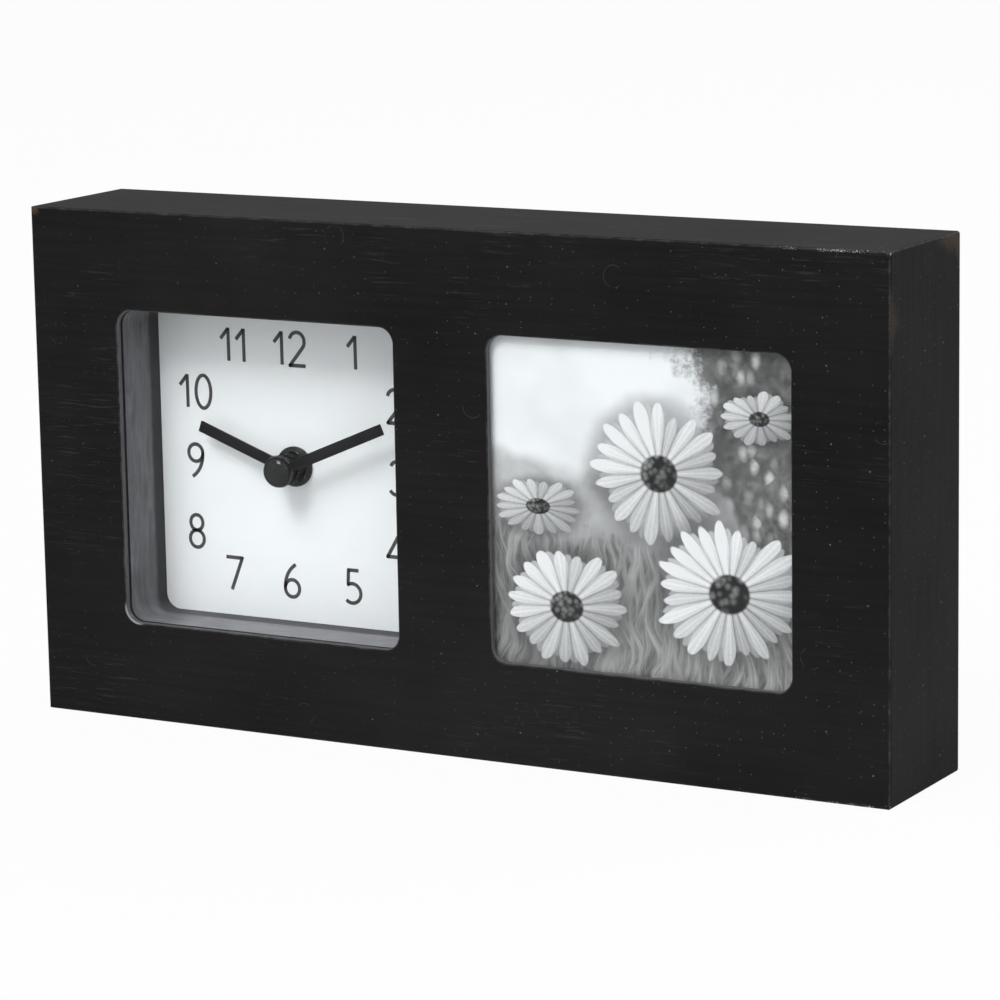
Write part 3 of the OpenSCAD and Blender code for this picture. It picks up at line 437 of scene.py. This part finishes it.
def stroke(path, width, thickness, rounded):
    """A flat band along a path in X and Z, with a front and a back face: each point is moved sideways
    by half the width. At a rounded end the width falls as a half circle that reaches past the end."""
    middle, at = along(path, 72)
    way = np.gradient(middle, at, axis=0)
    way /= np.linalg.norm(way, axis=1)[:, None]
    turn = np.linspace(np.pi/2, 0, 7)[:-1, None]
    half = np.full((len(at), 1), width/2)
    for end, sign in ((0, -1), (-1, 1)):
        if rounded[end]:
            reach = width/2*np.sin(turn if sign < 0 else turn[::-1])
            cap = middle[end] + sign*way[end]*reach
            side = np.sqrt(np.clip((width/2)**2 - reach**2, 1e-6, None))
            ways = np.repeat(way[end][None], len(cap), 0)
            parts = ((cap, middle), (ways, way), (side, half))
            middle, way, half = (np.concatenate(p if sign < 0 else p[::-1]) for p in parts)
    side = np.stack([-way[:, 1], way[:, 0]], 1)*half
    flat = np.stack([middle + side, middle - side, middle - side, middle + side], 1)
    deep = np.broadcast_to([0, 0, thickness, thickness], flat.shape[:2])
    points = np.stack([flat[..., 0], -deep, flat[..., 1]], -1).reshape(-1, 3)
    faces = grid_faces(len(middle), 4, True).tolist()
    last = 4*(len(middle) - 1)
    return points, faces + [[3, 2, 1, 0], [last, last + 1, last + 2, last + 3]]


# Each figure is a few strokes, in millimetres to the right of and above its lower left corner.
tall = 7.4
glyphs = {
    "0": [arc((2.2, tall/2), (1.95, tall/2), 90, 450, 48)],
    "1": [[(0, 4.9), (2.0, tall - 0.15)], [(2.0, tall), (2.05, 0)]],
    "2": [np.concatenate([arc((1.95, 5.35), (1.9, 2.05), 165, -38), [(0.1, 0)]]), [(0.1, 0), (4.1, 0)]],
    "3": [arc((1.75, 5.6), (1.7, 1.8), 155, -80), arc((1.7, 1.95), (2.05, 1.95), 80, -150)],
    "4": [[(3.3, tall), (0.1, 2.0)], [(0.1, 2.0), (4.5, 2.0)], [(3.3, tall), (3.3, 0)]],
    "5": [[(0.6, tall), (3.2, tall)], [(0.6, tall), (0.45, 4.15)],
          np.concatenate([[(0.45, 4.15)], arc((1.45, 2.2), (2.2, 2.2), 100, -135)])],
    "6": [arc((5.5, 2.1), (5.4, 6.0), 118, 184, 30), arc((1.95, 1.95), (1.85, 1.95), 90, 450, 40)],
    "7": [[(0, tall), (4.2, tall - 0.05)], [(4.2, tall - 0.05), (1.3, 0)]],
    "8": [arc((1.95, 5.65), (1.6, 1.75), 90, 450, 40), arc((1.95, 1.95), (1.85, 1.95), 90, 450, 40)],
}
glyphs["9"] = [np.array([3.9, tall]) - np.asarray(part) for part in glyphs["6"]]

# The second figure of a number stands past the first by the advance. Each number's centre is given
# in millimetres to the right of and above the hands' axis.
advance = 4.0
numbers = {"12": (-0.1, 26.4), "1": (15.7, 26.5), "2": (26.6, 15.3), "3": (26.7, -0.6), "4": (26.0, -16.4),
           "5": (14.8, -25.7), "6": (-1.0, -25.7), "7": (-16.1, -25.4), "8": (-25.8, -16.5),
           "9": (-25.5, -0.4), "10": (-25.1, 15.3), "11": (-15.0, 26.4)}
ink_points, ink_faces, used = [], [], 0
for number, centre in numbers.items():
    parts = [np.asarray(part, float) + (advance*i, 0)
             for i, figure in enumerate(number) for part in glyphs[figure]]
    every = np.concatenate(parts)
    shift = np.add(centre, number_shift) - (every.min(0) + every.max(0))/2
    for own, part in enumerate(parts):
        ends = np.concatenate([other[[0, -1]] for i, other in enumerate(parts) if i != own] or [[(99, 99)]])
        rounded = np.linalg.norm(part[[0, -1], None] - ends, axis=2).min(1) < 0.05
        points, faces = stroke(part + shift, stroke_width, ink_thickness, rounded)
        ink_points.append(points)
        ink_faces += [[corner + used for corner in face] for face in faces]
        used += len(points)
ink, start = new_tree("dial_ink")
ink_colour = (place(start)[0].noise(2.5, 3)*0.03 + 0.035).grey((1, 1, 1.05))
surface(start, principled(start, Base_Color=ink_colour, Roughness=0.5, Specular_IOR_Level=0.3))
numerals = mesh_piece("dial_numbers", np.concatenate(ink_points)*MM + (axis_x, dial_face, axis_z),
                      ink_faces, ink, smooth=False)
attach(numerals, "frame")


# Dial board, photo back and filler
# Brown pressed board, smooth in front and with a faint mesh of fibres. One sheet carries the dial
# card and one closes the photo pocket, over a pad of grey board that presses the print to its pane.
hardboard, start = new_tree("hardboard")
spot = place(start)[0]
fibres = spot.noise(1.6, 6, 0.75)
flecks = spot.stretched((2.2, 2.2, 0.5)).noise(1, 3, 0.7).step(0.6, 0.75)
board_colour = (fibres*0.11 + spot.noise(0.05, 2)*0.04 + 0.07).grey((1, 0.6, 0.36))
board_colour = (flecks*0.5).mix(board_colour, (0.07, 0.04, 0.022, 1))
surface(start, principled(start, Base_Color=board_colour, Roughness=0.62 + fibres*0.2,
                          Specular_IOR_Level=0.3, Normal=fibres.bump(0.0001, 0.5)))
dress(["dial_board", "photo_back"], hardboard)

filler_board, start = new_tree("filler_board")
pulp = place(start)[0].noise(2.0, 5, 0.7)
surface(start, principled(start, Base_Color=(pulp*0.12 + 0.22).grey((1, 0.98, 0.93)),
                          Roughness=0.85, Normal=pulp.bump(0.00012, 0.5)))
dress(["photo_spacer"], filler_board)


# Photo print
# A square semi-gloss print in greys, pressed to its pane, that bows a little. It shows daisies in
# front of a meadow, a soft hedge and a bright sky, all drawn by formulas round its middle.
print_paper, start = new_tree("print_in_greys")
spot, x, y, z = place(start)
u, v = x - window_middle, z - window_level
soft, leafy, fine = spot.noise(0.05, 2, 0.5), spot.noise(0.3, 5, 0.75), spot.noise(1.4, 4, 0.7)
sky = (v*0.002 + soft*0.6 + 0.66).low(1.02).grey((0.98, 1, 1.03))
hills = (v - soft*26 - u*0.12 + 2).step(2.5, -2.5)
picture = hills.mix(sky, (leafy*0.4 + soft*0.5 + 0.1).grey((0.99, 1, 1.02)))
leaf_gap, leaf_colour = spot.vector("ADD", spot.noise(0.2, 3).grey()).stretched((0.34, 0, 0.22)).cells()
leaves = leaf_gap.step(0.55, 0.1)*start.node("ShaderNodeSeparateColor", {}, {0: leaf_colour})
tree_edge = (u*0.9 - 26 + leafy*16 + v*0.3 + (soft - 0.5)*26).step(-2.5, 3.5)
picture = tree_edge.mix(picture, (leaves*leafy*1.1 + leafy*leafy*0.5 + 0.01).grey())
meadow = (leafy*16 - 12 - v + (soft - 0.5)*20).step(-3, 4)
blades = [start.node("ShaderNodeCombineXYZ", {}, {0: (u + v*lean + soft*14)*0.8, 1: lean*9, 2: v*0.05})
          .noise(1, 3, 0.6) for lean in (0.24, -0.17)]
picture = meadow.mix(picture, (blades[0].high(blades[1]).step(0.35, 0.8)*0.36 + leafy*0.24 + 0.02).grey())


def daisy(picture, middle, radius, petals, turn, squash, tint):
    """One flower laid over the picture. A petal ends where the radius passes a wave of the angle that
    noise makes uneven, and has a length and brightness of its own. Petals shade to the seams between
    them and along fine lines, a second row shows in the gaps, and the middle is a dome of seeds."""
    across, up = u - middle[0], (v - middle[1])*squash
    far = (across*across + up*up).math("SQRT")/radius
    angle = start.math("ARCTAN2", up, across)
    uneven = spot.noise(1.7/radius, 3)*0.34 - 0.17
    shadow = (far - 1.12 - uneven).step(0.16, -0.28)
    picture = (shadow*0.55).mix(picture, (0.03, 0.03, 0.031, 1))
    for phase, reach, dim in ((turn + 1.3, 0.9, 0.55), (turn, 0.97, 1)):
        run = angle*(petals/2) + phase + uneven*2
        own = start.node("ShaderNodeTexWhiteNoise", {"noise_dimensions": "1D"}, {
            "W": start.math("WRAP", (run/np.pi).math("FLOOR"), petals, 0)})
        round_end = start.math("POWER", abs(run.math("SINE")), 0.5)
        petal = (far - (round_end*0.45 + 0.55)*(own*0.16 + reach - 0.08) - uneven).step(0.02, -0.02)
        lines = (angle*petals*3.5 + fine*2).math("SINE")*0.03
        shade = (round_end*(1.2 - far)*0.4 + own*0.14 + far*0.36 + lines + fine*0.16
                 + (up - across)/radius*0.12 + 0.22)
        picture = petal.mix(picture, (shade*shade*(dim*tint)).low(0.95).grey((0.99, 1, 1.02)))
    seed_gap = spot.stretched((1, 0, 1)).cells(11/radius)[0]
    dome = (far - 0.27).step(0.03, -0.02)
    lit = (up - across*0.6)/radius
    return dome.mix(picture, ((0.7 - seed_gap)*0.5*(lit*1.6 + 0.75) - far*0.2 + 0.03).high(0.01).grey())


# Each flower's middle, radius, petals, turn, squash and tint, the farthest first.
for flower in (((-24.5, -1), 10.5, 17, 2.3, 1.7, 0.85), ((27, 21), 8.5, 15, 0.1, 1.5, 0.8),
               ((4, 8), 15.5, 21, 0.7, 1.08, 1.1), ((-18, -22), 14.5, 19, 1.2, 1.18, 1.05),
               ((20, -16), 17, 23, 0.9, 1.12, 1.15)):
    picture = daisy(picture, *flower)
print_gain = 0.66
surface(start, principled(start, Base_Color=picture.stretched((print_gain, print_gain, print_gain)),
                          Roughness=spot.noise(9, 2)*0.08 + 0.3, Specular_IOR_Level=0.25))


def sheet(middle, half, front, thickness, bow, count=24):
    """A closed thin sheet: rings of points run along its front and back at each height. The front lies
    behind its level by the bow times the square of X over its half width; end rings are pinched shut."""
    across = np.linspace(-1, 1, count)
    ring_x = np.concatenate([across, across[::-1]])
    ring_y = bow*ring_x**2 + np.repeat([0, thickness], count)
    pinched = bow*ring_x**2 + thickness/2
    levels = np.concatenate([[-1], across, [1]])
    points = np.stack([np.broadcast_to(middle[0] + half[0]*ring_x, (len(levels), 2*count)),
                       front + np.where(abs(np.arange(len(levels)) - (count + 1)/2)[:, None] > count/2,
                                        pinched, ring_y),
                       np.broadcast_to((middle[1] + half[1]*levels)[:, None], (len(levels), 2*count))], -1)
    return points.reshape(-1, 3), grid_faces(len(levels), 2*count, True)


gap_to_pane, paper_thickness, paper_bow = 0.04, 0.16, 0.08
print_low, print_high = (np.array(corner)*1000 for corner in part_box("photo_print"))
points, faces = sheet((print_low + print_high)[::2]/2, (print_high - print_low)[::2]/2,
                      print_low[1] + gap_to_pane, paper_thickness, paper_bow)
print_sheet = mesh_piece("photo_print_sheet", points*MM, faces, print_paper, smooth=False)
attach(print_sheet, "frame")
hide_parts("photo_print")


# Screws and turn buttons
# Pressed strips of zinc-plated steel, each on one pan head screw, hold the photo back. Four more
# screws of the same kind hold the dial board.
def metal(name, tint, low, high, grain):
    """A bare metal: its colour and roughness waver with fine grain and with broad clouds."""
    look, start = new_tree(name)
    spot = place(start)[0]
    fine, broad = spot.stretched(grain).noise(1, 4, 0.6), spot.noise(0.35, 3)
    surface(start, principled(
        start, Base_Color=(fine*0.2 + broad*0.25 + 0.7).grey(tint), Metallic=1.0,
        Roughness=fine*(high - low) + low, Normal=fine.bump(0.000015, 0.5)))
    return look


zinc = metal("zinc_plate", (0.62, 0.63, 0.65), 0.22, 0.46, (5, 5, 0.8))
dress(["dial_board_screws", "button_screws", "turn_button_top", "turn_button_bottom",
       "turn_button_left", "turn_button_right"], zinc)


# Movement case, cover and knob
# A quartz unit in a black moulded case, spark-textured outside. Its cover clips in over the gear
# chamber, and the knob that sets the hands lies sunk in it.
def plastic(name, colour, roughness, texture, level=0.5):
    """A moulded plastic: one colour, clouded by a few percent, with a fine even texture."""
    look, start = new_tree(name)
    spot = place(start)[0]
    fine, broad = spot.noise(texture, 3, 0.6), spot.noise(0.12, 3)
    surface(start, principled(
        start, Base_Color=(fine*0.14 + broad*0.2 + 0.83).grey(colour), Specular_IOR_Level=level,
        Roughness=fine*0.12 + roughness, Normal=fine.bump(0.00003, 0.5)))
    return look


dress(["movement_case", "movement_cover"], plastic("case_black", (0.017, 0.017, 0.018), 0.5, 7, 0.35))
dress(["setting_knob"], plastic("knob_black", (0.014, 0.014, 0.015), 0.34, 3))
dress(["rubber_washer"], plastic("rubber_black", (0.02, 0.02, 0.02), 0.75, 4, 0.3))


# Wheels, bridge and arbor
# The train and the motion work are moulded of ivory acetal and run between the case, a milky
# bridge and the cover. The arbor carries the minute hand through the bushing.
dress(["gear_bridge"], plastic("bridge_white", (0.7, 0.7, 0.67), 0.42, 5))
dress(["hour_wheel", "minute_arbor", "motion_wheel", "centre_wheel", "third_wheel", "seconds_wheel",
       "step_wheel", "coil_bobbin"], plastic("gear_ivory", (0.74, 0.71, 0.63), 0.35, 6))


# Motor, circuit and contacts
# A magnet rotor in a soft iron stator, whose coil is wound of red enamelled wire; a small board
# with its chip under resin and a crystal in a tin can; and plated spring strips to the cell.
dress(["rotor"], plastic("magnet_grey", (0.07, 0.073, 0.08), 0.4, 5))
dress(["stator", "coil_core"], metal("soft_iron", (0.4, 0.4, 0.42), 0.3, 0.5, (3, 3, 3)))
dress(["quartz_crystal", "positive_contact", "negative_contact"],
      metal("nickel_plate", (0.66, 0.64, 0.6), 0.16, 0.34, (4, 1, 4)))

enamel_wire, start = new_tree("enamel_wire")
spot, x, y, z = place(start)
turns = (z*46).math("SINE")
red_copper = (turns*0.12 + spot.noise(1.2, 3)*0.3 + 0.75).grey((0.55, 0.17, 0.07))
surface(start, principled(start, Base_Color=red_copper, Metallic=1.0, Roughness=0.3,
                          Normal=turns.bump(0.00004, 0.7)))
dress(["coil_winding"], enamel_wire)

circuit_green, start = new_tree("circuit_green")
spot, x, y, z = place(start)
tracks = (spot.stretched((0.9, 1, 0.28)).noise(1, 2)*7).math("FRACT").step(0.42, 0.5)
lacquer = (tracks*0.35).mix((spot.noise(3, 3)*0.02 + 0.03).grey((0.8, 3.0, 1.1)), (0.12, 0.3, 0.09, 1))
chip_x, chip_z = -63.3, 56.0
from_chip = ((x - chip_x)*(x - chip_x) + (z - chip_z)*(z - chip_z)).math("SQRT")
resin = from_chip.step(2.75, 2.6)*y.step(11.3, 11.42)
surface(start, principled(start, Base_Color=resin.mix(lacquer, (0.012, 0.012, 0.013, 1)),
                          Roughness=0.3 + spot.noise(4, 2)*0.1))
dress(["circuit_board"], circuit_green)


# Cell
# One plain AA cell in a shrunk film sleeve, dark with a lighter band at the nub's end. The film
# turns over both ends and leaves the plated steel bare in the middle of each.
cell_wrap, start = new_tree("cell_wrap")
spot, x, y, z = place(start)
low, high_end = (np.array(corner)*1000 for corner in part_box("battery"))
cell_radius = (high_end[2] - low[2])/2
mid_y, mid_z = (low[1] + high_end[1])/2, (low[2] + high_end[2])/2
radius = ((y - mid_y)*(y - mid_y) + (z - mid_z)*(z - mid_z)).math("SQRT")
film_turn, nub_length, band_start = 1.2, 1.2, 14.2
steel = radius.step(cell_radius - film_turn + 0.1, cell_radius - film_turn - 0.1).high(
    x.step(high_end[0] - nub_length - 0.05, high_end[0] - nub_length))
band = x.step(high_end[0] - band_start - 0.1, high_end[0] - band_start + 0.1)
sleeve = band.mix((0.02, 0.03, 0.05, 1), (0.42, 0.43, 0.44, 1))
sleeve = (spot.noise(0.4, 3)*0.12).mix(sleeve, (0.1, 0.1, 0.1, 1))
surface(start, principled(start, Base_Color=steel.mix(sleeve, (0.6, 0.59, 0.56, 1)), Metallic=steel*0.9,
                          Roughness=0.24 + spot.noise(2, 3)*0.1, Coat_Weight=(1 - steel)*0.3))
dress(["battery"], cell_wrap)


# Nut
# A round nut of glossy black plastic clamps the bushing against the dial. It has a low flange and
# a raised collar with round edges.
def fillet(corners, radii, count=8):
    """A polyline whose corners are rounded: each is a quadratic curve between two points, a radius
    before and after the corner, drawn towards the corner."""
    corners = np.asarray(corners, float)
    t = np.linspace(0, 1, count)[:, None]
    parts = [corners[:1]]
    for before, corner, after, radius in zip(corners, corners[1:], corners[2:], radii):
        first = corner + (before - corner)/np.linalg.norm(before - corner)*radius
        last = corner + (after - corner)/np.linalg.norm(after - corner)*radius
        parts.append((1 - t)**2*first + 2*t*(1 - t)*corner + t**2*last)
    return np.concatenate(parts + [corners[-1:]])


def turned(profile, count=96):
    """A profile of radius and height turned about the Y axis: X and Z are the radius times the
    cosine and sine of the angle, and Y is minus the height, so a height rises towards the front."""
    profile = np.asarray(profile, float)
    angle = np.linspace(0, 2*np.pi, count, endpoint=False)
    radius, rise = profile[:, :1], profile[:, 1:]
    points = np.stack([radius*np.cos(angle), -rise + 0*angle, radius*np.sin(angle)], -1)
    return points.reshape(-1, 3), grid_faces(len(profile), count, True)


def on_axis(points, depth):
    """Moves points in millimetres to the hands' axis, with height 0 at a depth in metres."""
    return np.asarray(points)*MM + (axis_x, depth, axis_z)


def gloss_black(name, roughness):
    """Polished black plastic with faint moulding clouds and fine dust."""
    look, start = new_tree(name)
    spot = place(start)[0]
    broad, specks = spot.noise(0.9, 3), spot.noise(4, 3, 0.7).step(0.55, 0.7)
    surface(start, principled(
        start, Base_Color=(broad*0.004 + specks*0.03 + 0.003).grey((1, 1, 1.05)),
        Specular_IOR_Level=0.32, Roughness=broad*0.08 + roughness,
        Normal=spot.noise(3.5, 3).bump(0.00002, 0.3)))
    return look


nut_bore, nut_radius, collar_radius = 3.22, 4.5, 3.85
nut_front, nut_seat = (corner[1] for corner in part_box("hub_nut"))
nut_height = (nut_seat - nut_front)/MM
nut_profile = fillet([(nut_bore, 0), (nut_radius, 0), (nut_radius, nut_height*0.48),
                      (collar_radius + 0.1, nut_height*0.56), (collar_radius, nut_height),
                      (nut_bore, nut_height), (nut_bore, 0)], [0.1, 0.25, 0.16, 0.3, 0.15])
points, faces = turned(nut_profile)
nut = mesh_piece("round_nut", on_axis(points, nut_seat), faces, gloss_black("gloss_nut", 0.06))
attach(nut, "frame")
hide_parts("hub_nut")


# Hands
# Two flat strips with square ends, stamped of thin aluminium, riveted to round bosses and coated
# with finely textured black lacquer. Each boss is pressed on its tube.
def strip(length, width, thickness, edge):
    """A bar along Z with eased edges: a rounded rectangle whose size shrinks over the first and
    last bit of the length as a quarter circle does."""
    ease = np.linspace(0, np.pi/2, 4)
    corner = np.concatenate([ease + q*np.pi/2 for q in range(4)])
    sign_x = np.repeat([1, -1, -1, 1], 4)
    sign_y = np.repeat([1, 1, -1, -1], 4)
    ring = np.stack([sign_x*(width/2 - edge) + edge*np.cos(corner),
                     sign_y*(thickness/2 - edge) + edge*np.sin(corner)], 1)
    inset = np.concatenate([[1], edge*(1 - np.sin(ease)), edge*(1 - np.sin(ease[::-1])), [1]])
    rise = edge*(1 - np.cos(ease))
    at = np.concatenate([[0], rise, length - rise[::-1], [length]])
    half = np.array([width/2, thickness/2])
    shrink = np.where(inset[:, None] == 1, 0, 1 - inset[:, None]/half)
    height = np.broadcast_to(at[:, None, None], (len(at), len(ring), 1))
    points = np.concatenate([ring*shrink[:, None, :], height], 2)
    return points.reshape(-1, 3), grid_faces(len(at), len(ring), True)


def hand(name, node, body, boss_radius, bore, length, angle):
    """A boss of the node's depth round the axis, and a strip near its front, turned clockwise by an
    angle in degrees: X becomes X cos + Z sin, and Z becomes Z cos - X sin."""
    front, seat = (corner[1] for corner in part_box(node))
    boss_height = (seat - front)/MM
    boss, boss_faces = turned(fillet(
        [(bore, 0), (boss_radius, 0), (boss_radius, boss_height), (bore, boss_height), (bore, 0)],
        [0.15, 0.25, 0.1]))
    bar, bar_faces = strip(length, hand_width, hand_thickness, strip_edge)
    turn = np.radians(angle)
    bar = np.stack([bar[:, 0]*np.cos(turn) + bar[:, 2]*np.sin(turn),
                    bar[:, 1] - (boss_height - hand_thickness/2 - strip_inset),
                    bar[:, 2]*np.cos(turn) - bar[:, 0]*np.sin(turn)], 1)
    made = mesh_piece(name, on_axis(np.concatenate([boss, bar]), seat),
                      np.concatenate([boss_faces, bar_faces + len(boss)]), hand_black)
    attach(made, body)
    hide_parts(node)


hand_width, hand_thickness, strip_inset, strip_edge = 2.5, 0.5, 0.2, 0.1
hand_black, start = new_tree("hand_lacquer")
pimples = place(start)[0].noise(5.5, 3, 0.6)
lacquer = (pimples.step(0.42, 0.66)*0.028 + 0.001).grey((1, 1, 1.08))
surface(start, principled(start, Base_Color=lacquer, Roughness=pimples*0.1 + 0.45,
                          Specular_IOR_Level=0.09, Normal=pimples.bump(0.00003, 0.5)))
hand("hour_hand_strip", "hour_hand", "hour", 3.2, 2.02, 23.7, 290)
hand("minute_hand_strip", "minute_hand", "minute", 2.8, 1.42, 28.2, 67)


# Cap
# A domed button of glossy black plastic covers the end of the arbor. Its stem is pushed into the
# arbor's bore, and a thin foot stands out round its edge.
cap_front, stem_end = (corner[1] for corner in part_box("hand_cap"))
cap_seat = stem_end - 0.003
cap_height = (cap_seat - cap_front)/MM
cap_radius, stem_radius, stem_length = 3.6, 0.58, 2.95
dome_radius, dome_rise = cap_radius - 0.08, 2.1
stem_and_rim = fillet([(0, -stem_length), (stem_radius, -stem_length), (stem_radius, 0), (cap_radius, 0),
                       (cap_radius, 0.35), (dome_radius, 0.42), (dome_radius, cap_height - dome_rise)],
                      [0.1, 0.05, 0.15, 0.04, 0.04], 12)
dome = arc((0, cap_height - dome_rise), (dome_radius, dome_rise), 4, 90)
points, faces = turned(np.concatenate([stem_and_rim, dome]))
cap = mesh_piece("hand_cap_dome", on_axis(points, cap_seat), faces, gloss_black("gloss_cap", 0.05))
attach(cap, "minute")
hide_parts("hand_cap")
